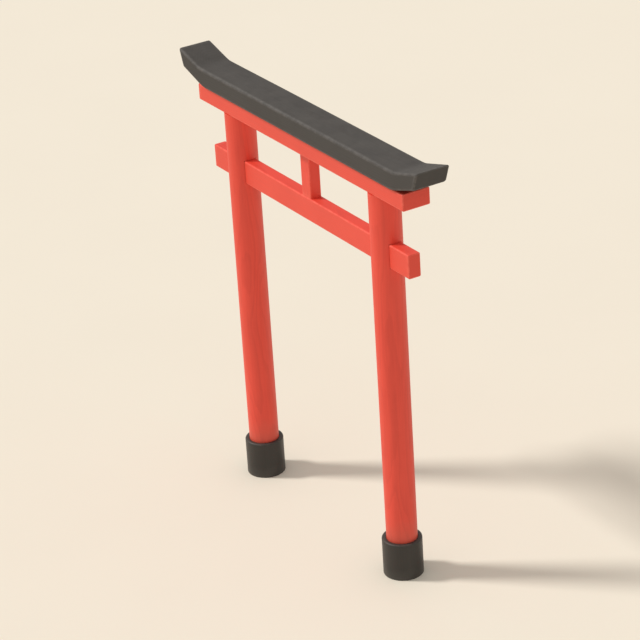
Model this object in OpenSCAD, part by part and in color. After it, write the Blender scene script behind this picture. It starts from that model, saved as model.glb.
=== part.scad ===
// Torii gate: two round posts in foot sleeves, a tie beam through both posts, a centre strut,
// a straight lower lintel on the post tops and an upswept top lintel over it.
// Millimetres. +X runs along the lintels, +Y through the gate, +Z up.
// The origin is the centre of the left post's foot, on the ground.

/* [Posts] */
// Distance between the axes of the two posts
post_spacing = 1510; // [1200:10:2400]
// Diameter of each round post
post_d = 180; // [130:5:260]
// Height of the posts' shoulders, where the lower lintel rests
post_h = 2354; // [1900:10:3400]
// Side of the square tenon on each post's top
post_tenon_w = 70; // [50:5:90]
// Height of that tenon
post_tenon_h = 70; // [40:5:80]

/* [Foot sleeves] */
// Wall thickness of the sleeve round each post's foot
sleeve_wall = 26; // [16:1:40]
// Height of the sleeves
sleeve_h = 228; // [120:2:400]
// Bevel on the sleeve's top rim
sleeve_bevel = 7; // [2:1:12]

/* [Tie beam] */
// Thickness of the tie beam, through the gate
tie_t = 78; // [50:2:110]
// Height of the tie beam's section
tie_h = 140; // [100:5:200]
// Length of the beam's end beyond each post's side
tie_overhang = 175; // [80:5:300]

/* [Centre strut] */
// Clear height between the tie beam and the lower lintel
strut_h = 280; // [200:5:450]
// Width of the strut, along the lintels
strut_w = 92; // [70:2:160]
// Thickness of the strut, through the gate
strut_t = 72; // [50:2:100]
// Thickness of the stub tenons at the strut's ends
strut_tenon_t = 20; // [14:1:30]
// Length of those tenons
strut_tenon_l = 28; // [15:1:40]

/* [Lower lintel] */
// Depth of the lower lintel, through the gate
lower_t = 175; // [120:5:260]
// Height of the lower lintel
lower_h = 100; // [90:1:160]
// Length of the lintel's end beyond each post's side
lower_overhang = 222; // [120:2:360]

/* [Top lintel] */
// Depth of the top lintel, through the gate
top_t = 212; // [170:2:320]
// Thickness of the top lintel between its upturned ends
top_h = 115; // [80:1:180]
// Length of the top lintel's upper edge beyond each end of the lower lintel
top_overhang = 171; // [100:1:300]
// Length of its lower edge beyond each end of the lower lintel
under_overhang = 130; // [70:1:260]
// Distance from the end of the lower lintel in to the bend of the upper face
top_bend_inset = 50; // [20:1:120]
// Distance from the end of the lower lintel in to the bend of the underside
under_bend_inset = 81; // [40:1:160]
// Slope of the upturned ends' upper face
top_sweep = 15.5; // [8:0.5:24]
// Slope of their underside
under_sweep = 17.5; // [10:0.5:26]
// Radius of the bends
bend_r = 220; // [100:10:500]

/* [Edges and fits] */
// Chamfer along the red beams' edges
beam_chamfer = 4; // [2:1:8]
// Clearance on each free side of a mortise
mortise_gap = 0.5; // [0.3:0.1:2]
// Clearance at the bottom of a blind mortise
tenon_end_gap = 4; // [2:1:8]
// Clearance between a sleeve's bore and its post
sleeve_gap = 0.3; // [0.2:0.1:1]

/* [Hidden] */
$fn = 96;
vermilion = [0.85, 0.21, 0.13];
charcoal = [0.24, 0.23, 0.22];
black_paint = [0.13, 0.12, 0.11];

centre_x = post_spacing / 2;
post_x = [0, post_spacing];
tie_z = post_h - strut_h - tie_h;
tie_len = post_spacing + post_d + 2 * tie_overhang;
lower_half = post_spacing / 2 + post_d / 2 + lower_overhang;
top_z = post_h + lower_h;
top_bend_x = lower_half - top_bend_inset;
under_bend_x = lower_half - under_bend_inset;
top_tip_x = lower_half + top_overhang;
under_tip_x = lower_half + under_overhang;
bend_steps = 6;
cut_past = 1;

// A rectangle w by h with cut corners, centred on x and standing on y = 0.
module beam_section(w, h, c) {
    polygon([[-w / 2 + c, 0], [w / 2 - c, 0], [w / 2, c], [w / 2, h - c],
        [w / 2 - c, h], [-w / 2 + c, h], [-w / 2, h - c], [-w / 2, c]]);
}

// Extrudes a section along +X for len, its x across the gate and its y upward.
module along_x(len) {
    rotate([90, 0, 90]) linear_extrude(len) children();
}

// A box centred on x and y, standing on z = 0.
module upright_box(x, y, z) {
    translate([-x / 2, -y / 2, 0]) cube([x, y, z]);
}

// A round post, with the mortise for the tie beam and a tenon on its top.
module post(x) {
    color(vermilion) translate([x, 0, 0]) {
        difference() {
            cylinder(d = post_d, h = post_h);
            translate([0, 0, tie_z])
                upright_box(post_d + 2 * cut_past, tie_t + 2 * mortise_gap, tie_h + mortise_gap);
        }
        translate([0, 0, post_h]) upright_box(post_tenon_w, post_tenon_w, post_tenon_h);
    }
}

// The sleeve round a post's foot, with a bevelled rim.
module foot_sleeve(x) {
    bore_r = post_d / 2 + sleeve_gap;
    outer_r = post_d / 2 + sleeve_wall;
    color(black_paint) translate([x, 0, 0]) rotate_extrude()
        polygon([[bore_r, 0], [outer_r, 0], [outer_r, sleeve_h - sleeve_bevel],
            [outer_r - sleeve_bevel, sleeve_h], [bore_r, sleeve_h]]);
}

// The tie beam, which runs through both posts, mortised on top for the strut.
module tie_beam() {
    color(vermilion) difference() {
        translate([centre_x - tie_len / 2, 0, tie_z])
            along_x(tie_len) beam_section(tie_t, tie_h, beam_chamfer);
        translate([centre_x, 0, tie_z + tie_h - strut_tenon_l - tenon_end_gap])
            strut_mortise();
    }
}

// The hole that takes one stub tenon of the strut.
module strut_mortise() {
    upright_box(strut_w / 2 + 2 * mortise_gap, strut_tenon_t + 2 * mortise_gap,
        strut_tenon_l + tenon_end_gap + cut_past);
}

// The short strut between the tie beam and the lower lintel, with a stub tenon at each end.
module centre_strut() {
    color(vermilion) translate([centre_x, 0, tie_z + tie_h]) {
        linear_extrude(strut_h) translate([0, -strut_t / 2])
            beam_section(strut_w, strut_t, beam_chamfer);
        translate([0, 0, -strut_tenon_l])
            upright_box(strut_w / 2, strut_tenon_t, strut_h + 2 * strut_tenon_l);
    }
}

// The straight lintel on the post tops, mortised for the posts' tenons and the strut.
module lower_lintel() {
    color(vermilion) difference() {
        translate([centre_x - lower_half, 0, post_h])
            along_x(2 * lower_half) beam_section(lower_t, lower_h, beam_chamfer);
        for (x = post_x)
            translate([x, 0, post_h - cut_past])
                upright_box(post_tenon_w + 2 * mortise_gap, post_tenon_w + 2 * mortise_gap,
                    post_tenon_h + tenon_end_gap + cut_past);
        translate([centre_x, 0, post_h - cut_past]) strut_mortise();
    }
}

// Half of one face's line, from its bend at x = bend_x and y = z out to its tip at x = tip_x.
function swept_line(bend_x, tip_x, z, slope) = concat(
    [for (i = [0:bend_steps]) [bend_x - bend_r * tan(slope / 2) + bend_r * sin(slope * i / bend_steps),
        z + bend_r - bend_r * cos(slope * i / bend_steps)]],
    [[tip_x, z + (tip_x - bend_x) * tan(slope)]]);

// The same line on the other side of the gate, in the other order.
function mirrored(line) = [for (i = [len(line) - 1:-1:0]) [-line[i][0], line[i][1]]];

// The top lintel: a straight middle and two upturned ends, in one piece.
module top_lintel() {
    upper = swept_line(top_bend_x, top_tip_x, top_z + top_h, top_sweep);
    under = swept_line(under_bend_x, under_tip_x, top_z, under_sweep);
    color(charcoal) translate([centre_x, top_t / 2, 0]) rotate([90, 0, 0]) linear_extrude(top_t)
        polygon(concat(mirrored(under), under, [for (i = [len(upper) - 1:-1:0]) upper[i]],
            [for (p = upper) [-p[0], p[1]]]));
}

post(post_x[0]);  // left_post
post(post_x[1]);  // right_post
foot_sleeve(post_x[0]);  // left_foot_sleeve
foot_sleeve(post_x[1]);  // right_foot_sleeve
tie_beam();
centre_strut();
lower_lintel();
top_lintel();
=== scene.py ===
"""Torii gate: painted timber pieces, a pale floor, soft light and the camera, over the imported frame."""
import math

import bmesh
import bpy
from mathutils import Matrix, Vector, noise


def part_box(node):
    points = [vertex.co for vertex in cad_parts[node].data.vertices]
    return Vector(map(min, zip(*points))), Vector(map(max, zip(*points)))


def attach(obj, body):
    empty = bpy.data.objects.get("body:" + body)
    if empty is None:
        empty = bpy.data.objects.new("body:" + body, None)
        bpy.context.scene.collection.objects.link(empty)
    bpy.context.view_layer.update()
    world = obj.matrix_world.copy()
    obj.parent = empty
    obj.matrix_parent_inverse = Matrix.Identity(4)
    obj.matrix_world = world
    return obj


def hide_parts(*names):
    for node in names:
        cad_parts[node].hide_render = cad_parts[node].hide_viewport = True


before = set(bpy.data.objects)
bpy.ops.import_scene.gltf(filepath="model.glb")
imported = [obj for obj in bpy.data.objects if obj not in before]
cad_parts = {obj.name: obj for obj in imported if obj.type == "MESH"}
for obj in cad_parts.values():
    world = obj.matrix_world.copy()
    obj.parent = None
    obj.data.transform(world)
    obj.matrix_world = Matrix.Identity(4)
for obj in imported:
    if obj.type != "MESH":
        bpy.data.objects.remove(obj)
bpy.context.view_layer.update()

# ---------------------------------------------------------------- sizes, in metres, from the frame
post_lo, post_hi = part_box("left_post")
post2_lo, post2_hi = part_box("right_post")
sleeve_lo, sleeve_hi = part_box("left_foot_sleeve")
tie_lo, tie_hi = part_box("tie_beam")
strut_lo, strut_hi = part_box("centre_strut")
lower_lo, lower_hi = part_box("lower_lintel")
top_lo, top_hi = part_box("top_lintel")

POST_R = (post_hi.x - post_lo.x) / 2
LEFT_X = (post_lo.x + post_hi.x) / 2
RIGHT_X = (post2_lo.x + post2_hi.x) / 2
MID_X = (LEFT_X + RIGHT_X) / 2
SLEEVE_H = sleeve_hi.z
SLEEVE_R = (sleeve_hi.x - sleeve_lo.x) / 2
SHOULDER_Z = lower_lo.z
# Clearance over and beside the tie beam in the posts' mortises.
JOINT_GAP = 0.0008
# Creases sharper than this, in degrees, are shaded as hard edges.
CREASE = 35


# ---------------------------------------------------------------- mesh helpers
def ripple(p, along, seed, size):
    """A small in-or-out offset at p: long waves along the timber and shorter ones across it."""
    q = Vector((p[0] * 9, p[1] * 9, p[2] * 9))
    q[along] *= 0.22
    q += Vector((seed * 7.3, seed * 3.1, seed * 5.7))
    return size * noise.noise(q)


def rounded_section(w, h, r, corner_steps, side_steps):
    """A closed ring of (u, v, edge) round a w by h rectangle with corners of radius r.

    edge is 1 on the rounded corners and 0 on the flats, for the paint's worn arrises, which are also
    lightened as a painted highlight.
    """
    ring = []
    corners = [(w / 2 - r, h / 2 - r, 0), (-w / 2 + r, h / 2 - r, 90),
               (-w / 2 + r, -h / 2 + r, 180), (w / 2 - r, -h / 2 + r, 270)]
    guard = min(0.004, r)
    for k, (cu, cv, a0) in enumerate(corners):
        for i in range(corner_steps + 1):
            a = math.radians(a0 + 90 * i / corner_steps)
            ring.append((cu + r * math.cos(a), cv + r * math.sin(a), 1.0 if 0 < i < corner_steps else 0.7))
        nu, nv, na = corners[(k + 1) % 4]
        u0, v0 = ring[-1][:2]
        a = math.radians(na)
        u1, v1 = nu + r * math.cos(a), nv + r * math.sin(a)
        length = math.hypot(u1 - u0, v1 - v0)
        stops = [guard / length] + [i / side_steps for i in range(1, side_steps)] + [1 - guard / length]
        for t in stops:
            ring.append((u0 + (u1 - u0) * t, v0 + (v1 - v0) * t, 0.0))
    return ring


def new_piece(name, verts, faces, edge, ends=()):
    """A closed mesh object. edge is the arris wear and painted highlight at each vertex, and ends lists the
    faces in material slot 1.
    """
    mesh = bpy.data.meshes.new(name)
    mesh.from_pydata(verts, [], faces)
    bm = bmesh.new()
    bm.from_mesh(mesh)
    bmesh.ops.recalc_face_normals(bm, faces=bm.faces)
    bm.to_mesh(mesh)
    bm.free()
    mesh.update()
    for f in mesh.polygons:
        f.use_smooth = True
    for i in ends:
        mesh.polygons[i].material_index = 1
    layer = mesh.attributes.new("edge", "FLOAT", "POINT")
    layer.data.foreach_set("value", edge)
    mesh.set_sharp_from_angle(angle=math.radians(CREASE))
    obj = bpy.data.objects.new(name, mesh)
    bpy.context.scene.collection.objects.link(obj)
    return obj


def stations(a, b, step):
    """Evenly spaced values from a to b, about step apart."""
    n = max(2, round((b - a) / step))
    return [a + (b - a) * i / n for i in range(n + 1)]


def rim_turns():
    """Angles, from the end face round to the side, that shape a rounded rim."""
    return [math.radians(90 - 22.5 * i) for i in range(5)]


def close_end(verts, edge, faces, ends, rim, shrink):
    """Closes a rim of vertices with three smaller rings and a fan. shrink moves a rim point inward."""
    n = len(rim)
    previous = rim
    for t in (0.96, 0.6, 0.25):
        base = len(verts)
        for i in rim:
            verts.append(shrink(verts[i], t))
            edge.append(0.0)
        fresh = [base + i for i in range(n)]
        for i in range(n):
            ends.append(len(faces))
            faces.append((previous[i], previous[(i + 1) % n], fresh[(i + 1) % n], fresh[i]))
        previous = fresh
    hub = len(verts)
    verts.append(sum((verts[i] for i in previous), Vector((0, 0, 0))) / n)
    edge.append(0.0)
    for i in range(n):
        ends.append(len(faces))
        faces.append((previous[i], previous[(i + 1) % n], hub))


def timber(name, centre, size, along, r, end_r, seed, wave=0.0005, step=0.03, side_steps=6):
    """A planed timber along one axis (0 x, 1 y, 2 z), its arrises and end rims rounded.

    Each surface dips inward by up to wave, never outward, so the timber stays in its box.
    """
    axes = [(1, 2), (2, 0), (0, 1)][along]
    w, h, length = size[axes[0]], size[axes[1]], size[along]
    spots = [(-length / 2 + end_r * (1 - math.sin(t)), end_r * (1 - math.cos(t))) for t in rim_turns()]
    inner = stations(-length / 2 + end_r, length / 2 - end_r, step)[1:-1]
    profile = [(s, inset, 1.0 if inset > 1e-6 else 0.6) for s, inset in spots]
    profile += [(s, 0.0, 0.0) for s in inner]
    profile += [(-s, inset, e) for s, inset, e in reversed(profile[:5])]
    ring = rounded_section(w, h, r, 4, side_steps)
    n = len(ring)
    verts, edge = [], []
    for s, inset, e in profile:
        for u, v, c in ring:
            local = Vector((0.0, 0.0, 0.0))
            local[axes[0]] = u * (1 - 2 * inset / w)
            local[axes[1]] = v * (1 - 2 * inset / h)
            local[along] = s
            dip = wave + ripple(local + centre, along, seed, wave)
            local[axes[0]] *= 1 - 2 * dip / w
            local[axes[1]] *= 1 - 2 * dip / h
            verts.append(local + centre)
            edge.append(max(c, e))
    faces = []
    for j in range(len(profile) - 1):
        for i in range(n):
            a, b = j * n + i, j * n + (i + 1) % n
            faces.append((a, b, b + n, a + n))
    ends = []

    def shrink(p, t):
        q = (p - centre) * t
        q[along] = p[along] - centre[along]
        return q + centre

    for j in (0, len(profile) - 1):
        close_end(verts, edge, faces, ends, [j * n + i for i in range(n)], shrink)
    return new_piece(name, verts, faces, edge, ends)


def turned_post(name, x, seed):
    """A round post standing on z = 0 at x, cut through along X for the tie beam."""
    half_y = (tie_hi.y - tie_lo.y) / 2 + JOINT_GAP
    z0, z1 = tie_lo.z, tie_hi.z + JOINT_GAP
    cut = math.asin(half_y / POST_R)
    side = stations(cut, math.pi - cut, 0.075)
    hole = stations(-cut, cut, 0.11)
    angles = hole[:-1] + side[:-1] + [a + math.pi for a in hole[:-1]] + [a + math.pi for a in side[:-1]]
    far_hole = len(hole) + len(side) - 2
    in_hole = set(range(len(hole) - 1)) | set(range(far_hole, far_hole + len(hole) - 1))
    n = len(angles)
    levels = stations(0.0, z0, 0.035)[:-1] + stations(z0, z1, 0.035)[:-1]
    levels += stations(z1, SHOULDER_Z, 0.035)
    low, high = levels.index(z0), min(range(len(levels)), key=lambda i: abs(levels[i] - z1))
    verts, edge, faces = [], [], []
    for z in levels:
        for a in angles:
            p = Vector((x + POST_R * math.cos(a), POST_R * math.sin(a), z))
            dip = 0.0004 + ripple(p, 2, seed, 0.0004)
            r = POST_R - dip
            verts.append(Vector((x + r * math.cos(a), r * math.sin(a), z)))
            edge.append(0.0)
    for j in range(len(levels) - 1):
        for i in range(n):
            if i in in_hole and low <= j < high:
                continue
            a, b = j * n + i, j * n + (i + 1) % n
            faces.append((a, b, b + n, a + n))
    # the inside of the mortise: its floor, roof and two cheeks, from one side of the post to the other
    m, k = len(hole) - 1, len(side) - 1
    near = list(range(m + 1))
    far = [(2 * m + k - i) % n for i in range(m + 1)]
    for i in range(m):
        a, b = near[i], near[i + 1]
        c, d = far[i + 1], far[i]
        faces.append((low * n + a, low * n + b, low * n + c, low * n + d))
        faces.append((high * n + a, high * n + d, high * n + c, high * n + b))
    for j in range(low, high):
        a, d = near[0], far[0]
        faces.append((j * n + a, j * n + d, (j + 1) * n + d, (j + 1) * n + a))
        a, d = near[m], far[m]
        faces.append((j * n + a, j * n + d, (j + 1) * n + d, (j + 1) * n + a))
    faces.append(tuple(reversed(range(n))))
    faces.append(tuple((len(levels) - 1) * n + i for i in range(n)))
    return new_piece(name, verts, faces, edge)


def lathe(name, x, profile, steps, seed, wave):
    """profile is a closed loop of (r, z, edge) turned about the vertical through x."""
    verts, edge, faces = [], [], []
    n = len(profile)
    for i in range(steps):
        a = 2 * math.pi * i / steps
        for r, z, e in profile:
            p = Vector((x + r * math.cos(a), r * math.sin(a), z))
            dip = (wave + ripple(p, 2, seed, wave)) if r > POST_R + 0.004 else 0.0
            verts.append(Vector((x + (r - dip) * math.cos(a), (r - dip) * math.sin(a), z)))
            edge.append(e)
    for i in range(steps):
        j = (i + 1) % steps
        for k in range(n):
            m = (k + 1) % n
            faces.append((i * n + k, j * n + k, j * n + m, i * n + m))
    return new_piece(name, verts, faces, edge)


# ---------------------------------------------------------------- the upswept top lintel
# Half lengths are along X from the middle of the gate. The bends and tips are set from the lower lintel.
TOP_TIP = (top_hi.x - top_lo.x) / 2
TOP_T = top_hi.y - top_lo.y
UNDER_Z = top_lo.z
LOWER_HALF = (lower_hi.x - lower_lo.x) / 2
TOP_H = 0.115
TOP_BEND, UNDER_BEND = LOWER_HALF - 0.050, LOWER_HALF - 0.081
UNDER_TIP = LOWER_HALF + 0.130
TOP_SLOPE, UNDER_SLOPE = math.radians(15.5), math.radians(17.5)
BEND_R = 0.22
# The evenly spaced stations of the straight middle stop at this distance, short of the bends.
FLAT_END = 0.88
# A rim's rounding, divided by this, is its share of the run from FLAT_END to the tip.
RIM_RUN = 0.25


def swept(x, bend, slope, z):
    """Height of a face at x from the middle: flat, then a tangent bend, then straight up the slope."""
    start = bend - BEND_R * math.tan(slope / 2)
    stop = start + BEND_R * math.sin(slope)
    if x <= start:
        return z
    if x >= stop:
        return z + (x - bend) * math.tan(slope)
    return z + BEND_R - math.sqrt(BEND_R ** 2 - (x - start) ** 2)


def top_lintel(name, seed, r=0.014, end_r=0.008, wave=0.0006):
    """The dark lintel, lofted from section to section between its upper and lower faces."""
    marks = [(1 - end_r / RIM_RUN * (1 - math.sin(t)), end_r * (1 - math.cos(t)), 1.0) for t in rim_turns()]
    marks += [(v, 0.0, 0.0) for v in reversed(stations(0.0, 1 - end_r / RIM_RUN, 0.045))][1:]
    flat = [(x, 0.0, 0.0) for x in reversed(stations(-FLAT_END, FLAT_END, 0.03))][1:-1]
    line = [("right",) + m for m in marks] + [("mid",) + f for f in flat]
    line += [("left",) + m for m in reversed(marks)]
    ring = rounded_section(TOP_T, TOP_H, r, 5, 7)
    n = len(ring)
    verts, edge, faces, ends = [], [], [], []
    for zone, t, inset, e in line:
        sign = -1 if zone == "left" else 1
        if zone == "mid":
            upper = Vector((t, 0, UNDER_Z + TOP_H))
            under = Vector((t, 0, UNDER_Z))
        else:
            xu = FLAT_END + (TOP_TIP - FLAT_END) * t
            xl = FLAT_END + (UNDER_TIP - FLAT_END) * t
            upper = Vector((sign * xu, 0, swept(xu, TOP_BEND, TOP_SLOPE, UNDER_Z + TOP_H)))
            under = Vector((sign * xl, 0, swept(xl, UNDER_BEND, UNDER_SLOPE, UNDER_Z)))
        rise = upper - under
        for u, v, c in ring:
            f = 0.5 + v / TOP_H * (1 - 2 * inset / TOP_H)
            p = under + rise * f + Vector((MID_X, u * (1 - 2 * inset / TOP_T), 0))
            dip = wave + ripple(p, 0, seed, wave)
            p.y *= 1 - 2 * dip / TOP_T
            p.z -= dip * 2 * v / TOP_H
            verts.append(p)
            edge.append(max(c, e))
    for j in range(len(line) - 1):
        for i in range(n):
            a, b = j * n + i, j * n + (i + 1) % n
            faces.append((a, b, b + n, a + n))
    for j in (0, len(line) - 1):
        rim = [j * n + i for i in range(n)]
        hub = sum((verts[i] for i in rim), Vector((0, 0, 0))) / n
        close_end(verts, edge, faces, ends, rim, lambda p, t: hub + (p - hub) * t)
    return new_piece(name, verts, faces, edge, ends)


# ---------------------------------------------------------------- the pieces
left_post = turned_post("post_left_timber", LEFT_X, 1.3)
right_post = turned_post("post_right_timber", RIGHT_X, 2.9)


def middle(lo, hi):
    """The centre of a box."""
    return (Vector(lo) + Vector(hi)) / 2


def extent(lo, hi):
    """The sides of a box."""
    return [hi[i] - lo[i] for i in range(3)]


tie_beam = timber("tie_beam_timber", middle(tie_lo, tie_hi), extent(tie_lo, tie_hi), 0,
                  0.007, 0.005, 4.1)
lower_lintel = timber("lower_lintel_timber", middle(lower_lo, lower_hi), extent(lower_lo, lower_hi), 0,
                      0.008, 0.006, 5.7)
# The strut runs this far into its neighbours, whose faces dip a little, so that no light shows through.
SEATED = 0.0008
strut_foot = Vector((strut_lo.x, strut_lo.y, tie_hi.z - SEATED))
strut_head = Vector((strut_hi.x, strut_hi.y, lower_lo.z + SEATED))
centre_strut = timber("centre_strut_timber", middle(strut_foot, strut_head),
                      extent(strut_foot, strut_head), 2, 0.006, 0.001, 6.3)
# The strut's ends are hidden, so all its faces take the side paint.
centre_strut.data.polygons.foreach_set("material_index", [0] * len(centre_strut.data.polygons))


def cut_joint(piece, x, width, thick, z0, z1, how):
    """Adds (UNION) an upright tenon from z0 to z1 to a timber, or cuts (DIFFERENCE) a mortise."""
    block = bpy.data.meshes.new("block")
    bm = bmesh.new()
    bmesh.ops.create_cube(bm, size=1)
    for v in bm.verts:
        v.co = (x + v.co.x * width, v.co.y * thick, (z0 + z1) / 2 + v.co.z * (z1 - z0))
    bm.to_mesh(block)
    bm.free()
    tool = bpy.data.objects.new("block", block)
    bpy.context.scene.collection.objects.link(tool)
    joint = piece.modifiers.new("joint", "BOOLEAN")
    joint.operation, joint.solver, joint.object = how, "EXACT", tool
    shaped = piece.evaluated_get(bpy.context.evaluated_depsgraph_get())
    plain = piece.data
    piece.data = bpy.data.meshes.new_from_object(shaped)
    piece.modifiers.clear()
    bpy.data.meshes.remove(plain)
    bpy.data.objects.remove(tool)
    bpy.data.meshes.remove(block)
    piece.data.name = piece.name
    piece.data.set_sharp_from_angle(angle=math.radians(CREASE))


# The hidden joints: the posts' square tenons, the strut's stub tenons, the play at a mortise's sides and
# bottom, and how far a block reaches past the face it is joined to or cut from.
POST_TENON = 0.070
STUB_W = (strut_hi.x - strut_lo.x) / 2
STUB_T = 0.020
PLAY = 0.0005
END_PLAY = 0.004
SUNK = 0.010
for post, x in ((left_post, LEFT_X), (right_post, RIGHT_X)):
    cut_joint(post, x, POST_TENON, POST_TENON, SHOULDER_Z - SUNK, post_hi.z, "UNION")
    cut_joint(lower_lintel, x, POST_TENON + 2 * PLAY, POST_TENON + 2 * PLAY,
              SHOULDER_Z - SUNK, post_hi.z + END_PLAY, "DIFFERENCE")
cut_joint(centre_strut, MID_X, STUB_W, STUB_T, strut_lo.z, tie_hi.z + SUNK, "UNION")
cut_joint(centre_strut, MID_X, STUB_W, STUB_T, lower_lo.z - SUNK, strut_hi.z, "UNION")
cut_joint(tie_beam, MID_X, STUB_W + 2 * PLAY, STUB_T + 2 * PLAY,
          strut_lo.z - END_PLAY, tie_hi.z + SUNK, "DIFFERENCE")
cut_joint(lower_lintel, MID_X, STUB_W + 2 * PLAY, STUB_T + 2 * PLAY,
          lower_lo.z - SUNK, strut_hi.z + END_PLAY, "DIFFERENCE")
dark_lintel = top_lintel("top_lintel_timber", 7.9)

SLEEVE_GAP = 0.0003
BORE_R = POST_R + SLEEVE_GAP
# Radii of the sleeve's small edges, at its foot and bore, and of its outer rim.
SMALL_R = 0.003
RIM_R = 0.009


def rounded(r, z, radius, start, step, count, edge):
    """Points (r, z, edge) on an arc of the given radius about r, z, from start degrees in steps."""
    turns = [math.radians(start + step * i) for i in range(count)]
    return [(r + radius * math.cos(a), z + radius * math.sin(a), edge) for a in turns]


def sleeve_profile():
    """A ring's section: bore, rounded foot, plain wall and a rounded rim."""
    points = [(BORE_R, 0.0, 0.0)]
    points += rounded(SLEEVE_R - SMALL_R, SMALL_R, SMALL_R, -90, 30, 4, 0.5)
    points += [(SLEEVE_R, z, 0.0) for z in stations(SMALL_R, SLEEVE_H - RIM_R, 0.02)[1:]]
    points += rounded(SLEEVE_R - RIM_R, SLEEVE_H - RIM_R, RIM_R, 15, 15, 6, 1.0)
    points += [(SLEEVE_R - 0.014, SLEEVE_H, 0.3), (BORE_R + 0.005, SLEEVE_H, 0.2)]
    points += rounded(BORE_R + SMALL_R, SLEEVE_H - SMALL_R, SMALL_R, 90, 30, 4, 0.8)
    points.append((BORE_R, SLEEVE_H * 0.5, 0.0))
    return points


left_sleeve = lathe("foot_sleeve_left_wood", LEFT_X, sleeve_profile(), 96, 8.2, 0.0005)
right_sleeve = lathe("foot_sleeve_right_wood", RIGHT_X, sleeve_profile(), 96, 9.4, 0.0005)

for piece, node in ((left_post, "left_post"), (right_post, "right_post"), (tie_beam, "tie_beam"),
                    (lower_lintel, "lower_lintel"), (centre_strut, "centre_strut"),
                    (dark_lintel, "top_lintel"), (left_sleeve, "left_foot_sleeve"),
                    (right_sleeve, "right_foot_sleeve")):
    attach(piece, "root")
    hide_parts(node)


# ---------------------------------------------------------------- materials
class Nodes:
    """Short ways to make and link shader nodes."""

    def __init__(self, name):
        self.mat = bpy.data.materials.new(name)
        self.mat.use_nodes = True
        self.tree = self.mat.node_tree
        self.tree.nodes.clear()
        self.out = self.tree.nodes.new("ShaderNodeOutputMaterial")
        self.bsdf = self.tree.nodes.new("ShaderNodeBsdfPrincipled")
        self.link(self.bsdf.outputs[0], self.out.inputs[0])
        self.coord = self.tree.nodes.new("ShaderNodeTexCoord").outputs["Object"]

    def link(self, a, b):
        self.tree.links.new(a, b)

    def put(self, socket, value):
        if hasattr(value, "links"):
            self.link(value, socket)
        else:
            socket.default_value = value

    def scaled(self, scale, shift=(0, 0, 0)):
        m = self.tree.nodes.new("ShaderNodeMapping")
        m.inputs["Scale"].default_value = scale
        m.inputs["Location"].default_value = shift
        self.link(self.coord, m.inputs["Vector"])
        return m.outputs[0]

    def noise(self, scale, detail=3.0, rough=0.5, vector=None, distort=0.0):
        t = self.tree.nodes.new("ShaderNodeTexNoise")
        t.inputs["Scale"].default_value = scale
        t.inputs["Detail"].default_value = detail
        t.inputs["Roughness"].default_value = rough
        t.inputs["Distortion"].default_value = distort
        self.link(vector or self.coord, t.inputs["Vector"])
        return t.outputs["Fac"]

    def ramp(self, value, stops):
        r = self.tree.nodes.new("ShaderNodeValToRGB")
        while len(r.color_ramp.elements) < len(stops):
            r.color_ramp.elements.new(0.5)
        for e, (at, c) in zip(r.color_ramp.elements, stops):
            e.position = at
            e.color = (c, c, c, 1) if isinstance(c, (int, float)) else (*c, 1)
        self.link(value, r.inputs[0])
        return r.outputs[0]

    def mix(self, factor, a, b, mode="MIX"):
        m = self.tree.nodes.new("ShaderNodeMix")
        m.data_type, m.blend_type = "RGBA", mode
        self.put(m.inputs["Factor"], factor)
        for socket, value in ((m.inputs[6], a), (m.inputs[7], b)):
            self.put(socket, (*value, 1) if isinstance(value, tuple) and len(value) == 3 else value)
        return m.outputs[2]

    def math(self, kind, a, b=0.0):
        m = self.tree.nodes.new("ShaderNodeMath")
        m.operation = kind
        self.put(m.inputs[0], a)
        self.put(m.inputs[1], b)
        return m.outputs[0]

    def attribute(self, name):
        a = self.tree.nodes.new("ShaderNodeAttribute")
        a.attribute_name = name
        return a.outputs["Fac"]

    def bump(self, height, strength, distance, below=None):
        b = self.tree.nodes.new("ShaderNodeBump")
        b.inputs["Strength"].default_value = strength
        b.inputs["Distance"].default_value = distance
        self.link(height, b.inputs["Height"])
        if below is not None:
            self.link(below, b.inputs["Normal"])
        return b.outputs[0]


def along(axis, slow, fast):
    """A mapping scale that is slow along one axis and fast across it, so that noise runs with the grain."""
    s = [fast, fast, fast]
    s[axis] = slow
    return tuple(s)


def year_rings(m, axis, pith, spacing):
    """Growth rings round a pith line that runs along axis: 0 in the soft wood, 1 on the hard late wood.

    The rings wander along the timber, so a planed face cuts them into long flames and an end shows arcs.
    """
    split = m.tree.nodes.new("ShaderNodeSeparateXYZ")
    m.link(m.coord, split.inputs[0])
    sides = [i for i in range(3) if i != axis]
    across = [m.math("SUBTRACT", split.outputs[i], c) for i, c in zip(sides, pith)]
    reach = m.math("SQRT", m.math("ADD", m.math("MULTIPLY", across[0], across[0]),
                                  m.math("MULTIPLY", across[1], across[1])))
    shift = (pith[0] * 9, pith[1] * 7, spacing * 40)
    wander = m.math("MULTIPLY", m.noise(1.0, 1.5, 0.45, m.scaled(along(axis, 0.9, 6.0), shift)), 0.060)
    jitter = m.math("MULTIPLY", m.noise(1.0, 2.0, 0.5, m.scaled(along(axis, 3.0, 30.0), shift)), 0.004)
    phase = m.math("DIVIDE", m.math("ADD", m.math("ADD", reach, wander), jitter), spacing)
    line = m.ramp(m.math("FRACT", phase),
                  [(0.0, 0.10), (0.45, 0.20), (0.84, 1.0), (0.93, 0.85), (1.0, 0.10)])
    return line, reach, m.math("ARCTAN2", across[1], across[0])


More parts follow.
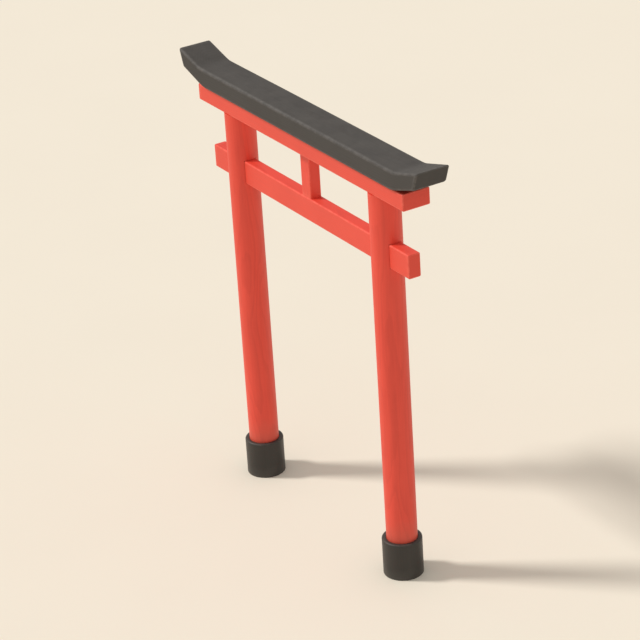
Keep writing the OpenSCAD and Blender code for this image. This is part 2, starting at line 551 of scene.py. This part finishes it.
def painted_wood(name, axis, pith, tones, rough, spacing=0.0065, grain=1.0, dust=0.0, foot=None, end=False):
    """Brushed paint on planed timber whose grain runs along axis, over growth rings round pith.

    tones are the paint's body, a darker and a lighter tone mixed in at random, and the arris colour,
    which is rubbed wear and also a painted highlight. dust is how much settles on tops.
    foot is (height, reach, amount, colour): a tone that fades out upward, which on the posts is grime and
    painted shade darkening the foot and on the sleeves is dust. end is for a sawn end, with short drying
    checks.
    """
    m = Nodes(name)
    body, shade, light, arris = tones
    rings, reach, turn = year_rings(m, axis, pith, spacing)
    broad = m.noise(2.3, 5.0, 0.6)
    if end:
        streak = m.noise(55.0, 4.0, 0.6)
        brush = m.noise(240.0, 3.0, 0.6)
    else:
        streak = m.noise(1.0, 4.0, 0.62, m.scaled(along(axis, 2.6, 95.0)), 0.25)
        brush = m.noise(1.0, 3.0, 0.6, m.scaled(along(axis, 9.0, 520.0)))
    colour = m.mix(m.ramp(broad, [(0.34, 0.0), (0.66, 1.0)]), body, shade)
    colour = m.mix(m.math("MULTIPLY", m.ramp(streak, [(0.40, 0.0), (0.74, 1.0)]), 0.45), colour, light)
    colour = m.mix(m.math("MULTIPLY", rings, 0.24 * grain), colour, RING_TINT, "MULTIPLY")
    colour = m.mix(m.math("MULTIPLY", m.ramp(brush, [(0.35, 1.0), (0.55, 0.0)]), 0.10 * grain), colour,
                   BRUSH_TINT, "MULTIPLY")
    height = m.math("ADD", m.math("MULTIPLY", rings, 0.45 * grain), m.math("MULTIPLY", streak, 0.5))
    if end:
        spokes = m.math("ABSOLUTE", m.math("SINE", m.math("ADD", m.math("MULTIPLY", turn, 3.5),
                        m.math("MULTIPLY", m.noise(22.0, 3.0, 0.5), 2.6))))
        checks = m.math("MULTIPLY", m.ramp(spokes, [(0.0, 1.0), (0.045, 0.0)]),
                        m.ramp(reach, [(0.010, 1.0), (0.075, 0.0)]))
        colour = m.mix(m.math("MULTIPLY", checks, 0.55), colour, CHECK_TINT, "MULTIPLY")
        height = m.math("SUBTRACT", height, checks)
    # The arris tone is rubbed paint wear and also a painted highlight along the rounded edges, broken up by
    # noise.
    arris_breakup = m.noise(34.0, 5.0, 0.68)
    wear_and_highlight = m.math("MULTIPLY", m.attribute("edge"), m.ramp(arris_breakup, [(0.40, 0.22), (0.60, 0.85)]))
    colour = m.mix(wear_and_highlight, colour, arris)
    if dust:
        geometry = m.tree.nodes.new("ShaderNodeNewGeometry")
        up = m.tree.nodes.new("ShaderNodeSeparateXYZ")
        m.link(geometry.outputs["Normal"], up.inputs[0])
        patch = m.ramp(m.noise(7.0, 6.0, 0.66), [(0.32, 0.25), (0.68, 1.0)])
        lying = m.math("MULTIPLY", m.ramp(up.outputs[2], [(0.55, 0.0), (0.95, 1.0)]), patch)
        colour = m.mix(m.math("MULTIPLY", lying, dust), colour, DUST)
    # Towards the foot the paint takes the foot colour, fading out upward. On the posts this is grime and
    # painted shade darkening the foot, and on the sleeves it is lighter dust near the ground.
    if foot:
        place = m.tree.nodes.new("ShaderNodeSeparateXYZ")
        m.link(m.coord, place.inputs[0])
        level = m.math("DIVIDE", m.math("SUBTRACT", place.outputs[2], foot[0]), foot[1])
        scatter = m.math("SUBTRACT", m.noise(11.0, 5.0, 0.65), 0.5)
        foot_fade = m.math("ADD", level, m.math("MULTIPLY", scatter, 0.9))
        foot_dirt_and_shade = m.math("MULTIPLY", m.ramp(foot_fade, [(0.0, 1.0), (1.0, 0.0)]), foot[2])
        colour = m.mix(foot_dirt_and_shade, colour, foot[3])
    m.link(colour, m.bsdf.inputs["Base Color"])
    sheen_lines = m.math("MULTIPLY", m.math("SUBTRACT", streak, 0.5), 0.24)
    rough_map = m.math("ADD", m.math("ADD", sheen_lines, m.math("MULTIPLY", wear_and_highlight, 0.08)), rough)
    m.link(rough_map, m.bsdf.inputs["Roughness"])
    m.bsdf.inputs["Specular IOR Level"].default_value = 0.5
    coarse = m.bump(height, 0.55 if end else 0.45, 0.0007)
    m.link(m.bump(brush, 0.35, 0.0003, coarse), m.bsdf.inputs["Normal"])
    return m.mat


# Paint tones: body, a darker and a lighter tone mixed in at random, and the arris tone, which is rubbed wear
# and a painted highlight.
RED = ((0.87, 0.076, 0.043), (0.81, 0.066, 0.036), (0.91, 0.090, 0.053), (0.96, 0.145, 0.098))
DARK = ((0.052, 0.047, 0.044), (0.042, 0.038, 0.035), (0.065, 0.060, 0.056), (0.112, 0.103, 0.096))
BLACK = ((0.030, 0.0255, 0.0215), (0.024, 0.0205, 0.0175), (0.040, 0.035, 0.030), (0.052, 0.046, 0.039))
DUST = (0.15, 0.137, 0.122)
# Grime and painted shade that darken the foot of the posts.
FOOT_GRIME_AND_SHADE = (0.36, 0.150, 0.100)
# Tints that darken the paint over late wood, in brush lines and in drying checks.
RING_TINT = (0.68, 0.54, 0.50)
BRUSH_TINT = (0.66, 0.60, 0.58)
CHECK_TINT = (0.32, 0.27, 0.25)


def post_paint(name, x, dx, dy):
    """Vermilion for a post whose pith is dx, dy off its axis."""
    # The post is darkened above the sleeve with grime and painted shade, fading out upward.
    return painted_wood(name, 2, (x + dx, dy), RED, 0.50, 0.0045, 0.85, foot=(SLEEVE_H, 0.16, 0.26, FOOT_GRIME_AND_SHADE))


def sleeve_paint(name, x, dy):
    """Black for a foot sleeve, cut from wood well away from the pith."""
    return painted_wood(name, 2, (x + SLEEVE_PITH, dy), BLACK, 0.46, 0.0050, 0.9, dust=0.22,
                        foot=(0.0, 0.075, 0.20, DUST))


# Where the pith of each timber runs: y and z for the level ones, x and y for the strut.
TIE_PITH = (0.016, tie_lo.z - 0.045)
LOWER_PITH = (-0.030, lower_lo.z - 0.035)
TOP_PITH = (0.022, top_lo.z - 0.020)
STRUT_PITH = (MID_X + 0.02, 0.075)
SLEEVE_PITH = 0.21
for piece, slot, mats in (
        (left_post, "vermilion_paint", [post_paint("vermilion_post_left", LEFT_X, 0.012, -0.009)]),
        (right_post, "vermilion_paint", [post_paint("vermilion_post_right", RIGHT_X, -0.010, 0.014)]),
        (tie_beam, "vermilion_paint",
         [painted_wood("vermilion_tie", 0, TIE_PITH, RED, 0.50),
          painted_wood("vermilion_tie_end", 0, TIE_PITH, RED, 0.60, end=True)]),
        (lower_lintel, "vermilion_paint",
         [painted_wood("vermilion_lintel", 0, LOWER_PITH, RED, 0.50),
          painted_wood("vermilion_lintel_end", 0, LOWER_PITH, RED, 0.60, end=True)]),
        (centre_strut, "vermilion_paint",
         [painted_wood("vermilion_strut", 2, STRUT_PITH, RED, 0.50, 0.0045)]),
        (dark_lintel, "charcoal_paint",
         [painted_wood("charcoal_lintel", 0, TOP_PITH, DARK, 0.62, 0.0075, 1.3, dust=0.30),
          painted_wood("charcoal_lintel_end", 0, TOP_PITH, DARK, 0.70, 0.0075, 1.2, end=True)]),
        (left_sleeve, "black_paint", [sleeve_paint("black_sleeve_left", LEFT_X, 0.05)]),
        (right_sleeve, "black_paint", [sleeve_paint("black_sleeve_right", RIGHT_X, -0.07)])):
    for mat in mats:
        piece.data.materials.append(mat)

# ---------------------------------------------------------------- floor, light and camera
SUN_STRENGTH = 1.92
SUN_WIDTH = math.radians(9)
SKY_STRENGTH = 0.53
SKY_COLOUR = (1.0, 0.97, 0.93, 1)
BACKDROP_COLOUR = (0.887, 0.807, 0.666, 1)
CAMERA_AT = (MID_X + 11.946, -7.061, 7.999)
AIM_Z = 1.30
LENS = 152
ROLL = math.radians(-3.7)

floor_mesh = bpy.data.meshes.new("floor")
bm = bmesh.new()
bmesh.ops.create_grid(bm, x_segments=1, y_segments=1, size=60.0)
bm.to_mesh(floor_mesh)
bm.free()
floor = bpy.data.objects.new("floor", floor_mesh)
FLOOR_DROP = 0.0005
floor.location = (MID_X, 0, -FLOOR_DROP)
bpy.context.scene.collection.objects.link(floor)
ground = Nodes("pale_floor")
ground.link(ground.mix(ground.ramp(ground.noise(0.8, 3.0, 0.5), [(0.3, 0.0), (0.7, 1.0)]),
                       (0.935, 0.868, 0.748), (0.925, 0.857, 0.738)), ground.bsdf.inputs["Base Color"])
ground.bsdf.inputs["Roughness"].default_value = 0.9
ground.bsdf.inputs["Specular IOR Level"].default_value = 0.1
floor_mesh.materials.append(ground.mat)

sun_data = bpy.data.lights.new("key", "SUN")
sun_data.energy = SUN_STRENGTH
sun_data.angle = SUN_WIDTH
sun_data.color = (1.0, 0.975, 0.94)
sun = bpy.data.objects.new("key", sun_data)
bpy.context.scene.collection.objects.link(sun)
toward_light = Vector((-0.647, -0.763, 1.05)).normalized()
sun.rotation_mode = "QUATERNION"
sun.rotation_quaternion = toward_light.to_track_quat("Z", "Y")

world = bpy.data.worlds.new("soft")
bpy.context.scene.world = world
world.use_nodes = True
tree = world.node_tree
tree.nodes.clear()
lit = tree.nodes.new("ShaderNodeBackground")
lit.inputs[0].default_value = SKY_COLOUR
lit.inputs[1].default_value = SKY_STRENGTH
seen = tree.nodes.new("ShaderNodeBackground")
seen.inputs[0].default_value = BACKDROP_COLOUR
seen.inputs[1].default_value = 1.0
path = tree.nodes.new("ShaderNodeLightPath")
choose = tree.nodes.new("ShaderNodeMixShader")
world_out = tree.nodes.new("ShaderNodeOutputWorld")
tree.links.new(path.outputs["Is Camera Ray"], choose.inputs[0])
tree.links.new(lit.outputs[0], choose.inputs[1])
tree.links.new(seen.outputs[0], choose.inputs[2])
tree.links.new(choose.outputs[0], world_out.inputs[0])

cam_data = bpy.data.cameras.new("camera")
cam_data.lens = LENS
cam_data.sensor_width = 36
cam = bpy.data.objects.new("camera", cam_data)
bpy.context.scene.collection.objects.link(cam)
bpy.context.scene.camera = cam
cam.location = CAMERA_AT
aim = Vector((MID_X, 0, AIM_Z))
look = (aim - cam.location).to_track_quat("-Z", "Y").to_matrix()
cam.rotation_mode = "QUATERNION"
cam.rotation_quaternion = (look @ Matrix.Rotation(ROLL, 3, "Z")).to_quaternion()
cam_data.clip_end = 400

bpy.context.scene.view_settings.view_transform = "Standard"
